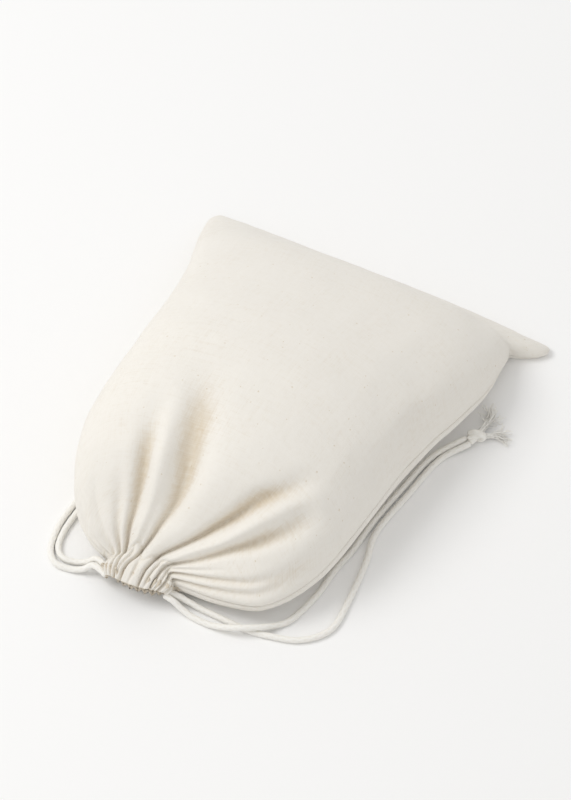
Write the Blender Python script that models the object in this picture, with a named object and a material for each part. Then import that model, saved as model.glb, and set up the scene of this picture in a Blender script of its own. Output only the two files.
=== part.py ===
"""A filled cotton drawstring pouch, lying down with its mouth drawn closed.

Metres, +Z up. The mouth points along -Y, and the origin is on the surface that the pouch rests
on, under the middle of its box.
"""

import math

import bmesh
import bpy
import numpy as np
from mathutils import Vector

# Driving sizes
BAG_WIDTH = 0.1487  # across the bottom seam, corner to corner, as the filled pouch lies
BAG_LENGTH = 0.177  # bottom seam to the edge of the mouth, as it lies
FILL_HEIGHT = 0.061  # highest point of the crown
CLOTH = 0.0012  # wall of a panel
HEM_CLOTH = 0.0017  # wall of the folded hem, with the cords in it
MOUTH_WIDTH = 0.031  # across the drawn mouth
MOUTH_HEIGHT = 0.0165  # over the drawn mouth, at the line of stitches
MOUTH_X = -0.0245  # the middle of the mouth is off to the left
MOUTH_LIP = 0.0045  # how much further the front of the hem reaches than its back
PLEAT_DEPTH = 0.0010  # of the gathers round the mouth, either way
HEM_PUFF = 0.0010  # how far the cords round the hem out
CORD_DIAMETER = 0.0025
KNOT_LENGTH = 0.0074
KNOT_WIDTH = 0.0066
KNOT_HEIGHT = 0.0056
TAIL_SPREAD = 0.0072  # across the frayed end of a tail
TAIL_HEIGHT = 0.0038  # over the frayed end of a tail
GAP = 0.0003  # between pieces that touch

# Mesh density
FRONT_COLUMNS = 48
BACK_COLUMNS = 34
PANEL_ROWS = 20
HEM_ROWS = 5
SECTION_SAMPLES = 160
ROUTE_STEP = 2.5  # cord diameters between a cord's rings
TAIL_SIDES = 14
TAIL_RINGS = 8

# The pouch in rings, from the bottom seam to the edge of the mouth. reach is the share of the
# cloth's length that a ring lies at. left and right are the two side seams: x is a share of half
# the width, along of the length, and up of the fill height. crown is the height of the top of the
# ring, a share of the fill height, and bow is how far its middle lags towards the bottom, a share
# of the length. A ring at the mouth has x as a share of half the mouth's width, about its middle,
# and up and crown as shares of the mouth's height.
RING_COLUMNS = ("reach", "left_x", "left_along", "left_up", "right_x", "right_along", "right_up",
                "crown", "bow", "at_mouth")
RINGS = (
    (0.000, -0.930, 0.000, 0.022, 0.955, 0.000, 0.022, 0.022, 0.000, 0),
    (0.010, -0.978, 0.010, 0.022, 0.994, 0.010, 0.022, 0.080, 0.000, 0),
    (0.030, -0.998, 0.031, 0.024, 1.000, 0.030, 0.023, 0.175, 0.000, 0),
    (0.060, -0.990, 0.066, 0.045, 0.972, 0.060, 0.030, 0.310, 0.000, 0),
    (0.090, -0.976, 0.106, 0.100, 0.890, 0.086, 0.055, 0.430, 0.000, 0),
    (0.130, -0.952, 0.155, 0.170, 0.862, 0.125, 0.120, 0.560, 0.000, 0),
    (0.190, -0.922, 0.225, 0.275, 0.872, 0.195, 0.200, 0.700, 0.000, 0),
    (0.270, -0.902, 0.315, 0.380, 0.822, 0.300, 0.270, 0.835, 0.000, 0),
    (0.370, -0.896, 0.420, 0.470, 0.750, 0.405, 0.320, 0.945, 0.000, 0),
    (0.470, -0.898, 0.525, 0.520, 0.695, 0.520, 0.345, 1.000, 0.000, 0),
    (0.570, -0.900, 0.628, 0.530, 0.663, 0.622, 0.345, 0.990, 0.000, 0),
    (0.660, -0.892, 0.718, 0.495, 0.630, 0.714, 0.330, 0.930, 0.010, 0),
    (0.740, -0.865, 0.795, 0.430, 0.585, 0.794, 0.290, 0.830, 0.025, 0),
    (0.810, -0.805, 0.862, 0.350, 0.495, 0.872, 0.235, 0.690, 0.050, 0),
    (0.870, -0.720, 0.914, 0.270, 0.330, 0.936, 0.180, 0.520, 0.068, 0),
    (0.905, -0.635, 0.938, 0.210, 0.100, 0.950, 0.155, 0.390, 0.054, 0),
    (0.940, -1.050, 0.957, 0.520, 1.050, 0.960, 0.480, 1.000, 0.028, 1),
    (0.970, -1.040, 0.974, 0.430, 1.060, 0.972, 0.430, 0.940, 0.010, 1),
    (1.000, -1.000, 0.988, 0.330, 1.000, 0.985, 0.330, 0.740, -0.013, 1),
)
STITCH_SHARE = 0.940  # the reach of the stitches that close the hem
SECTION_POWER = 2.3  # of the sections: 2 is an ellipse, more is boxier
REST_SHARE = 1.25  # how much of the underside is pressed flat: 1 is a line
PLEATS_START_SHARE = 0.84  # the reach where the gathers begin
PLEATS_FULL_SHARE = 0.93  # the reach where they are at their full depth
COLUMNS_IN_A_PLEAT = 6
SEAM_MARGIN_SHARE = 0.12  # how far in from a side seam the folds are at their full depth
EDGE_CROWDING_SHARE = 0.35  # how much the rows crowd towards the bottom seam
EDGE_CROWDING_POWER = 1.7
LEAST_WALL_SHARE = 0.6  # of a wall, where the underside is pressed flat

# Folds of the front panel, which run up from the gathered mouth. mouth and far are where across
# the panel a fold lies at either end, from -1 at the left seam to 1 at the right; top is the reach
# where it fades out; depth is a share of the fill height, and breadth of half the width.
FOLD_COLUMNS = ("mouth", "far", "top", "depth", "breadth")
FOLDS = (
    (-0.74, -0.72, 0.76, 0.020, 0.050),
    (-0.60, -0.54, 0.78, 0.024, 0.050),
    (-0.44, -0.40, 0.62, 0.052, 0.065),
    (-0.10, -0.22, 0.52, 0.058, 0.090),
    (0.24, 0.47, 0.64, 0.064, 0.075),
    (0.50, 0.66, 0.70, 0.048, 0.065),
    (0.80, 0.83, 0.76, 0.026, 0.050),
)

# Routes of the four free cord ends, in metres: x, y and the height of the cord's middle
ROUTES = {
    "right_cord_outer": (
        (-0.0066, -0.0826, 0.0050), (-0.0020, -0.0822, 0.0030), (0.0035, -0.0822, 0.0015),
        (0.0095, -0.0824, 0.0013), (0.0165, -0.0828, 0.0013), (0.0240, -0.0829, 0.0013),
        (0.0322, -0.0818, 0.0013),
        (0.0448, -0.0780, 0.0013), (0.0535, -0.0685, 0.0013), (0.0541, -0.0540, 0.0013),
        (0.0524, -0.0340, 0.0013), (0.0500, -0.0200, 0.0013), (0.0537, 0.0020, 0.0013),
        (0.0577, 0.0215, 0.0013), (0.0657, 0.0333, 0.0026),
    ),
    "right_cord_inner": (
        (-0.0070, -0.0856, 0.0050), (-0.0028, -0.0862, 0.0026), (0.0025, -0.0870, 0.0013),
        (0.0103, -0.0873, 0.0016), (0.0177, -0.0864, 0.0036), (0.0240, -0.0840, 0.0045),
        (0.0296, -0.0803, 0.0036), (0.0342, -0.0755, 0.0015), (0.0380, -0.0700, 0.0013),
        (0.0418, -0.0560, 0.0013), (0.0430, -0.0430, 0.0013), (0.0452, -0.0320, 0.0013),
        (0.0470, -0.0150, 0.0013), (0.0502, 0.0020, 0.0013), (0.0545, 0.0215, 0.0013),
        (0.0632, 0.0349, 0.0026),
    ),
    "left_cord_outer": (
        (-0.0419, -0.0850, 0.0058), (-0.0458, -0.0866, 0.0028), (-0.0505, -0.0880, 0.0013),
        (-0.0568, -0.0883, 0.0013), (-0.0608, -0.0852, 0.0013), (-0.0630, -0.0800, 0.0013),
        (-0.0640, -0.0715, 0.0013), (-0.0634, -0.0630, 0.0013), (-0.0622, -0.0560, 0.0013),
        (-0.0610, -0.0440, 0.0013), (-0.0616, -0.0300, 0.0013), (-0.0630, -0.0150, 0.0013),
        (-0.0645, -0.0020, 0.0013), (-0.0652, 0.0090, 0.0013), (-0.0655, 0.0185, 0.0026),
    ),
    "left_cord_inner": (
        (-0.0419, -0.0820, 0.0062), (-0.0458, -0.0830, 0.0030), (-0.0503, -0.0842, 0.0013),
        (-0.0553, -0.0848, 0.0013), (-0.0587, -0.0826, 0.0013), (-0.0605, -0.0785, 0.0013),
        (-0.0610, -0.0710, 0.0013), (-0.0600, -0.0610, 0.0013), (-0.0590, -0.0550, 0.0013),
        (-0.0576, -0.0440, 0.0013), (-0.0578, -0.0300, 0.0013), (-0.0590, -0.0150, 0.0013),
        (-0.0602, -0.0020, 0.0013), (-0.0611, 0.0090, 0.0013), (-0.0626, 0.0189, 0.0026),
    ),
}

# The knots: where each one's middle lies and which way it points, seen from above in degrees
KNOTS = {
    "right": {"at": (0.0665, 0.0374), "heading": 58.0},
    "left": {"at": (-0.0646, 0.0226), "heading": 97.0},
}

# Frayed tails past each knot: the turn away from the knot's heading, and the length
TAIL_COLUMNS = ("turn", "length", "bend")
TAILS = ((-20.0, 0.0115, -25.0), (17.0, 0.0135, 20.0))
TAIL_LOBES = 5
LOBE_DEPTH = 0.16  # a share of the tail's half breadth
KNOT_GROOVE = 0.09  # how deep the groove between the knot's turns is, a share of its half breadth
KNOT_SINK = 0.47  # how high the knot's middle lies, a share of its height

COLOURS = {
    "front_panel": (0.86, 0.82, 0.74, 1.0),
    "back_panel": (0.84, 0.80, 0.72, 1.0),
    "front_channel": (0.87, 0.83, 0.75, 1.0),
    "back_channel": (0.85, 0.81, 0.73, 1.0),
    "cord": (0.90, 0.87, 0.80, 1.0),
    "knot": (0.89, 0.86, 0.79, 1.0),
    "tassel": (0.91, 0.88, 0.82, 1.0),
}


def row_values(columns, row):
    return dict(zip(columns, row))


def ring_in_metres(row):
    """One row of RINGS as reach, both seam points, the crown's height and the bow."""
    ring = row_values(RING_COLUMNS, row)
    middle, half, tall = 0.0, BAG_WIDTH / 2, FILL_HEIGHT
    if ring["at_mouth"]:
        middle, half, tall = MOUTH_X, MOUTH_WIDTH / 2, MOUTH_HEIGHT
    seams = []
    for side in ("left", "right"):
        seams += [
            middle + half * ring[side + "_x"],
            BAG_LENGTH * (0.5 - ring[side + "_along"]),
            max(tall * ring[side + "_up"], CLOTH + GAP / 2),
        ]
    return [ring["reach"], *seams, tall * ring["crown"], BAG_LENGTH * ring["bow"]]


def rings_at(reaches):
    """The rings at the given reaches, on a smooth curve that never overshoots the table."""
    table = np.array([ring_in_metres(row) for row in RINGS])
    knots = table[:, 0]
    rise = np.diff(table, axis=0) / np.diff(knots)[:, None]
    before, after = rise[:-1], rise[1:]
    total = np.where(before * after > 0, before + after, 1.0)
    slope = np.vstack([rise[:1], np.where(before * after > 0, 2 * before * after / total, 0), rise[-1:]])
    k = np.clip(np.searchsorted(knots, reaches, side="right") - 1, 0, len(knots) - 2)
    step = (knots[k + 1] - knots[k])[:, None]
    u = (reaches[:, None] - knots[k][:, None]) / step
    return (
        table[k] * (1 + 2 * u) * (1 - u) ** 2
        + table[k + 1] * u * u * (3 - 2 * u)
        + slope[k] * step * u * (1 - u) ** 2
        - slope[k + 1] * step * u * u * (1 - u)
    )


def evenly_along(points, count):
    """A polyline read again at count + 1 points that lie evenly along it."""
    steps = np.linalg.norm(np.diff(points, axis=0), axis=1)
    far = np.concatenate([[0.0], np.cumsum(steps)])
    want = np.linspace(0.0, far[-1], count + 1)
    return np.column_stack([np.interp(want, far, points[:, k]) for k in range(3)])


def section(ring, side, inset, wall, columns):
    """One row of a panel, from the left seam to the right one. side is 1 for the front, -1 back.

    The outer skin has an inset of 0. The inner one is drawn in by the wall at the seams, and lies
    a wall nearer the plane of the seams.
    """
    reach, left_x, left_y, left_z, right_x, right_y, right_z, crown, bow = ring
    angle = np.linspace(-0.5 * math.pi, 0.5 * math.pi, SECTION_SAMPLES)
    across = np.sin(angle)
    share = (across + 1) / 2
    half = (right_x - left_x) / 2
    x = (left_x + right_x) / 2 + (half - inset) * across
    y = left_y + (right_y - left_y) * share + bow * (1 - across**2)
    seam_z = left_z + (right_z - left_z) * share
    if side < 0:
        y = y + MOUTH_LIP * ease(reach, STITCH_SHARE, 1.0)
    dome = (1 - np.abs(across) ** SECTION_POWER) ** (1 / SECTION_POWER)
    skin = 0.0 if inset else wall
    if side > 0:
        bulge = max(crown - (left_z + right_z) / 2 - GAP / 2 - wall, 0.0)
        z = seam_z + GAP / 2 + skin + bulge * dome
    else:
        rest = 0.0 if skin else wall
        z = np.maximum(seam_z - GAP / 2 - skin - REST_SHARE * (seam_z - CLOTH - GAP / 2) * dome, rest)
        z = np.minimum(z, seam_z - GAP / 2 - skin)
    row = evenly_along(np.column_stack([x, y, z]), columns)
    if inset:
        row[0] = (left_x, left_y, left_z + side * GAP / 2)
        row[-1] = (right_x, right_y, right_z + side * GAP / 2)
    return row


def skin_normals(grid, side):
    """Outward directions of an outer skin, square to each of its rows and to the length."""
    across = np.gradient(grid, axis=1)
    normal = np.stack([-across[:, :, 2], np.zeros(grid.shape[:2]), across[:, :, 0]], axis=2)
    return side * normal / np.linalg.norm(normal, axis=2)[:, :, None]


def ease(value, low, high):
    """0 below low, 1 above high, and a smooth rise between them."""
    u = np.clip((value - low) / (high - low), 0.0, 1.0)
    return u * u * (3 - 2 * u)


def fold_depth(across, reach):
    """How far the folds draw the front panel in, at each place on it."""
    depth = np.zeros_like(across)
    for row in FOLDS:
        fold = row_values(FOLD_COLUMNS, row)
        run = np.clip((reach - fold["top"]) / (1 - fold["top"]), 0.0, 1.0)
        centre = fold["far"] + (fold["mouth"] - fold["far"]) * run
        groove = np.exp(-(((across - centre) / fold["breadth"]) ** 2))
        depth += FILL_HEIGHT * fold["depth"] * groove * ease(run, 0.0, 0.45) * (1 - 0.8 * ease(run, 0.5, 0.9))
    return depth


def panel_grids(side, low, high, wall, rows, columns):
    """The outer and inner skins of a panel between two reaches, as grids of points."""
    reaches = np.linspace(low, high, rows + 1)
    if low == 0:
        even = np.linspace(0, 1, rows + 1)
        reaches = high * (EDGE_CROWDING_SHARE * even**EDGE_CROWDING_POWER + (1 - EDGE_CROWDING_SHARE) * even)
    rings = rings_at(reaches)
    outer = np.array([section(ring, side, 0.0, wall, columns) for ring in rings])
    inner = np.array([section(ring, side, wall, wall, columns) for ring in rings])
    reach = np.repeat(reaches[:, None], columns + 1, axis=1)
    across = np.repeat(np.linspace(-1, 1, columns + 1)[None, :], len(reaches), axis=0)
    move = np.zeros_like(reach)
    if side > 0:
        move -= fold_depth(across, reach)
    pleats = columns // COLUMNS_IN_A_PLEAT
    gathered = ease(reach, PLEATS_START_SHARE, PLEATS_FULL_SHARE)
    move += PLEAT_DEPTH * np.cos(math.pi * (across + 1) * pleats) * gathered
    move += HEM_PUFF * np.sin(math.pi * np.clip((reach - STITCH_SHARE) / (1 - STITCH_SHARE), 0, 1))
    move *= ease(1 - np.abs(across), 0.0, SEAM_MARGIN_SHARE)
    moved = skin_normals(outer, side) * move[:, :, None]
    outer = outer + moved
    inner = inner + moved
    if side < 0:
        outer[:, :, 2] = np.maximum(outer[:, :, 2], 0.0)
        inner[:, :, 2] = np.maximum(inner[:, :, 2], outer[:, :, 2] + LEAST_WALL_SHARE * wall)
    return outer, inner


def object_from(name, mesh, colour, collection):
    """An object of the mesh, with a material of its own, in the collection."""
    thing = bpy.data.objects.new(name, mesh)
    collection.objects.link(thing)
    material = bpy.data.materials.new(name)
    material.use_nodes = True
    shader = material.node_tree.nodes["Principled BSDF"]
    shader.inputs["Base Color"].default_value = colour
    shader.inputs["Roughness"].default_value = 0.9
    shader.inputs["Metallic"].default_value = 0.0
    mesh.materials.append(material)
    return thing


def closed_sheet(name, outer, inner, colour, collection):
    """A sheet between two grids of points, closed along its four edges."""
    rows, columns = outer.shape[:2]
    bm = bmesh.new()
    skins = [[[bm.verts.new(point) for point in row] for row in grid] for grid in (outer, inner)]
    for skin in skins:
        for j in range(rows - 1):
            for i in range(columns - 1):
                bm.faces.new((skin[j][i], skin[j + 1][i], skin[j + 1][i + 1], skin[j][i + 1]))
    top, low = skins
    for j in range(rows - 1):
        for i in (0, columns - 1):
            bm.faces.new((top[j][i], top[j + 1][i], low[j + 1][i], low[j][i]))
    for i in range(columns - 1):
        for j in (0, rows - 1):
            bm.faces.new((top[j][i], top[j][i + 1], low[j][i + 1], low[j][i]))
    bmesh.ops.recalc_face_normals(bm, faces=bm.faces)
    bmesh.ops.triangulate(bm, faces=bm.faces)
    mesh = bpy.data.meshes.new(name)
    bm.to_mesh(mesh)
    bm.free()
    mesh.shade_smooth()
    return object_from(name, mesh, colour, collection)


def smooth_route(points, spacing):
    """Points a spacing apart on a smooth curve through the route."""
    ends = [2 * Vector(points[0]) - Vector(points[1]), 2 * Vector(points[-1]) - Vector(points[-2])]
    nodes = [ends[0], *(Vector(point) for point in points), ends[1]]
    fine = []
    for a, b, c, d in zip(nodes, nodes[1:], nodes[2:], nodes[3:]):
        for k in range(12):
            u = k / 12
            fine.append(0.5 * (2 * b + (c - a) * u + (2 * a - 5 * b + 4 * c - d) * u * u
                               + (3 * b - a - 3 * c + d) * u**3))
    fine.append(nodes[-2])
    fine = np.array(fine)
    length = np.linalg.norm(np.diff(fine, axis=0), axis=1).sum()
    return evenly_along(fine, max(round(length / spacing), 2))


def cord_tube(name, route, collection):
    """A free cord end: a round tube along its route."""
    points = smooth_route(route, ROUTE_STEP * CORD_DIAMETER)
    curve = bpy.data.curves.new(name, "CURVE")
    curve.dimensions = "3D"
    spline = curve.splines.new("POLY")
    spline.points.add(len(points) - 1)
    for point, place in zip(spline.points, points):
        point.co = (*place, 1.0)
    curve.bevel_depth = CORD_DIAMETER / 2
    curve.bevel_resolution = 2
    curve.use_fill_caps = True
    return object_from(name, curve, COLOURS["cord"], collection)


def half_gap_at(reach):
    """Half the gap between a panel and its hem, as a share of the cloth's length."""
    span = 0.01
    before, after = rings_at(np.array([reach - span / 2, reach + span / 2]))
    slowest = min(before[2] - after[2], before[5] - after[5])
    return 0.5 * GAP * span / slowest


def build_pouch(collection):
    half_gap = half_gap_at(STITCH_SHARE)
    for name, side, columns in (("front", 1, FRONT_COLUMNS), ("back", -1, BACK_COLUMNS)):
        panel = panel_grids(side, 0.0, STITCH_SHARE - half_gap, CLOTH, PANEL_ROWS, columns)
        closed_sheet(name + "_panel", *panel, COLOURS[name + "_panel"], collection)
        hem = panel_grids(side, STITCH_SHARE + half_gap, 1.0, HEM_CLOTH, HEM_ROWS, columns)
        closed_sheet(name + "_channel", *hem, COLOURS[name + "_channel"], collection)


def knot_direction(knot, turn=0.0):
    angle = math.radians(knot["heading"] + turn)
    return Vector((math.cos(angle), math.sin(angle), 0.0))


def build_knot(name, knot, collection):
    """An overhand knot, as the lump of wound cord that it draws up to."""
    bm = bmesh.new()
    bmesh.ops.create_uvsphere(bm, u_segments=16, v_segments=10, radius=0.5)
    forward = knot_direction(knot)
    sideways = Vector((-forward.y, forward.x, 0.0))
    for vert in bm.verts:
        x, y, z = vert.co
        turn = math.atan2(y, z)
        groove = 1 - KNOT_GROOVE * (0.5 + 0.5 * math.cos(4 * math.pi * x * 1.3 + turn))
        place = forward * (x * KNOT_LENGTH) + sideways * (y * groove * KNOT_WIDTH)
        height = max(z * groove * KNOT_HEIGHT + KNOT_SINK * KNOT_HEIGHT, 0.0)
        vert.co = Vector((*knot["at"], 0.0)) + place + Vector((0.0, 0.0, height))
    bmesh.ops.triangulate(bm, faces=bm.faces)
    mesh = bpy.data.meshes.new(name)
    bm.to_mesh(mesh)
    bm.free()
    mesh.shade_smooth()
    object_from(name, mesh, COLOURS["knot"], collection)


def tail_mesh(knot, tail):
    """One frayed tail: a round cord that flares out into lobes of thread."""
    start = Vector((*knot["at"], 0.0)) + knot_direction(knot) * (KNOT_LENGTH / 2 + GAP)
    bm = bmesh.new()
    loops = []
    place = start
    step = tail["length"] / (TAIL_RINGS - 1)
    for k in range(TAIL_RINGS):
        u = k / (TAIL_RINGS - 1)
        ahead = knot_direction(knot, tail["turn"] + tail["bend"] * u)
        across = Vector((-ahead.y, ahead.x, 0.0))
        flare = 0.5 * (CORD_DIAMETER + (TAIL_SPREAD - CORD_DIAMETER) * ease(u, 0.35, 0.9))
        flare *= 1 - 0.35 * ease(u, 0.9, 1.0)
        low = min(flare, TAIL_HEIGHT / 2)
        loop = []
        for s in range(TAIL_SIDES):
            angle = 2 * math.pi * s / TAIL_SIDES
            lobe = 1 + LOBE_DEPTH * math.cos(angle * TAIL_LOBES) * ease(u, 0.4, 0.8)
            height = low * (1 + GAP / TAIL_SPREAD + lobe * math.sin(angle) / (1 + LOBE_DEPTH))
            sideways = across * (flare * lobe * math.cos(angle))
            loop.append(bm.verts.new(place + sideways + Vector((0.0, 0.0, height))))
        loops.append(loop)
        place = place + ahead * step
    for a, b in zip(loops, loops[1:]):
        for s in range(TAIL_SIDES):
            t = (s + 1) % TAIL_SIDES
            bm.faces.new((a[s], a[t], b[t], b[s]))
    bm.faces.new(loops[0])
    bm.faces.new(loops[-1])
    bmesh.ops.recalc_face_normals(bm, faces=bm.faces)
    bmesh.ops.triangulate(bm, faces=bm.faces)
    mesh = bpy.data.meshes.new("tail")
    bm.to_mesh(mesh)
    bm.free()
    return mesh


def build_tassel(name, knot, collection, cutters):
    """The frayed tails past a knot, grown into one piece where they leave it."""
    tails = [row_values(TAIL_COLUMNS, row) for row in TAILS]
    first = object_from(name, tail_mesh(knot, tails[0]), COLOURS["tassel"], collection)
    for k, tail in enumerate(tails[1:]):
        other = bpy.data.objects.new(f"{name}_tail_{k}", tail_mesh(knot, tail))
        other.hide_render = True
        other.display_type = "WIRE"
        cutters.objects.link(other)
        union = first.modifiers.new("tail", "BOOLEAN")
        union.operation = "UNION"
        union.object = other


def build():
    for thing in list(bpy.data.objects):
        bpy.data.objects.remove(thing)
    parts = bpy.data.collections.new("drawstring_bag")
    cutters = bpy.data.collections.new("joined_shapes")
    for collection in (parts, cutters):
        bpy.context.scene.collection.children.link(collection)
    build_pouch(parts)
    for name, route in ROUTES.items():
        cord_tube(name, route, parts)
    for side, knot in KNOTS.items():
        build_knot(side + "_knot", knot, parts)
        build_tassel(side + "_tassel", knot, parts, cutters)


build()
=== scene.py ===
"""A filled cotton drawstring pouch, lying down with its mouth drawn closed."""

import math

import bmesh
import bpy
import numpy as np
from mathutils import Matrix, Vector


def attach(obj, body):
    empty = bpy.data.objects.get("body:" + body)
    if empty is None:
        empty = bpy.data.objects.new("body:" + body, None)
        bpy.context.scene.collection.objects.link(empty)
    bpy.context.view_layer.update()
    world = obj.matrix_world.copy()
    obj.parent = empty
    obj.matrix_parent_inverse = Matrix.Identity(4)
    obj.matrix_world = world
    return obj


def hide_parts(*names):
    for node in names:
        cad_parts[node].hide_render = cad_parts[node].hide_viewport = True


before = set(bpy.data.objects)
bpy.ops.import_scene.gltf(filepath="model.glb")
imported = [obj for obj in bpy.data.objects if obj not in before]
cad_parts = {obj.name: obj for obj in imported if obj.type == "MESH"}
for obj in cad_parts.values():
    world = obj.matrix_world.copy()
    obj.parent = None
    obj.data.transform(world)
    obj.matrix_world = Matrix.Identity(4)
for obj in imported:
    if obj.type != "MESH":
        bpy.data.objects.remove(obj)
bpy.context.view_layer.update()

# The pouch's cloth: two panels of undyed plain-weave cotton, sewn inside out along both sides and
# the bottom and then turned, so that no stitch shows there. The filling rounds them out, they lie
# pressed flat below, and each one's top is folded in for the hem that the cords run in.
BAG_WIDTH = 0.1487
BAG_LENGTH = 0.177
FILL_HEIGHT = 0.061
MOUTH_WIDTH = 0.0264
MOUTH_HEIGHT = 0.0165
MOUTH_X = -0.0229
MOUTH_LIP = 0.0045
STITCH_REACH = 0.940
SECTION_POWER = 2.3
REST_SHARE = 1.25
CLOTH_THICKNESS = 0.00045
SEAM_ALLOWANCE_LIFT = 0.0008  # the turned-in edges hold the two panels apart
SLACK_WAVE = 0.00045
SEAM_PUCKER = 0.00012
PUCKER_REACH = 0.0035  # how far in from a seam its puckers fade out
HEM_FULLNESS = 0.0013
STITCH_DRAW_IN = 0.0007
RIM_RADIUS = 0.0006

# The cloth simulation, which lets the filling push the plain pouch out before it is folded.
COARSE_REACHES = np.linspace(0.0, 1.0, 46)
COARSE_COLUMNS = 44
GATHERS_FROM = 0.86  # the gathers and the hem don't move
PRESSED_HEIGHT = 0.0006  # nor what is pressed on the surface below
CLOTH_POINT_MASS = 0.0002
FILLING_PRESSURE = 4.0
CLOTH_SLACK = 0.006
CLOTH_FRAMES = 20
MOST_MOVED = 0.003
SMOOTHINGS = 3

# reach, left seam (x, along, up), right seam (x, along, up), crown, bow, measured at the mouth or not
RINGS = (
    (0.000, -0.930, 0.000, 0.022, 0.965, 0.000, 0.022, 0.022, 0.000, 0),
    (0.010, -0.978, 0.010, 0.022, 1.006, 0.006, 0.022, 0.080, 0.000, 0),
    (0.030, -0.998, 0.031, 0.024, 1.004, 0.018, 0.023, 0.175, 0.000, 0),
    (0.060, -0.987, 0.066, 0.045, 0.915, 0.046, 0.027, 0.310, 0.000, 0),
    (0.090, -0.968, 0.106, 0.100, 0.835, 0.064, 0.055, 0.430, 0.000, 0),
    (0.130, -0.938, 0.155, 0.170, 0.840, 0.112, 0.120, 0.560, 0.000, 0),
    (0.190, -0.900, 0.225, 0.275, 0.853, 0.190, 0.200, 0.700, 0.000, 0),
    (0.270, -0.870, 0.315, 0.380, 0.812, 0.300, 0.270, 0.835, 0.000, 0),
    (0.370, -0.862, 0.420, 0.470, 0.750, 0.405, 0.320, 0.945, 0.000, 0),
    (0.470, -0.870, 0.525, 0.520, 0.695, 0.520, 0.345, 1.000, 0.000, 0),
    (0.570, -0.888, 0.628, 0.530, 0.663, 0.622, 0.345, 0.990, 0.000, 0),
    (0.660, -0.892, 0.718, 0.495, 0.630, 0.714, 0.330, 0.930, 0.010, 0),
    (0.740, -0.865, 0.795, 0.430, 0.585, 0.794, 0.290, 0.830, 0.025, 0),
    (0.810, -0.805, 0.862, 0.350, 0.495, 0.872, 0.235, 0.690, 0.050, 0),
    (0.870, -0.720, 0.914, 0.270, 0.330, 0.936, 0.180, 0.520, 0.068, 0),
    (0.905, -0.610, 0.946, 0.210, 0.100, 0.952, 0.155, 0.390, 0.054, 0),
    (0.940, -1.050, 0.964, 0.520, 1.050, 0.956, 0.480, 1.000, 0.024, 1),
    (0.970, -1.040, 0.980, 0.430, 1.060, 0.970, 0.430, 0.900, 0.006, 1),
    (1.000, -1.000, 0.995, 0.330, 1.000, 0.982, 0.330, 0.690, -0.017, 1),
)

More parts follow.
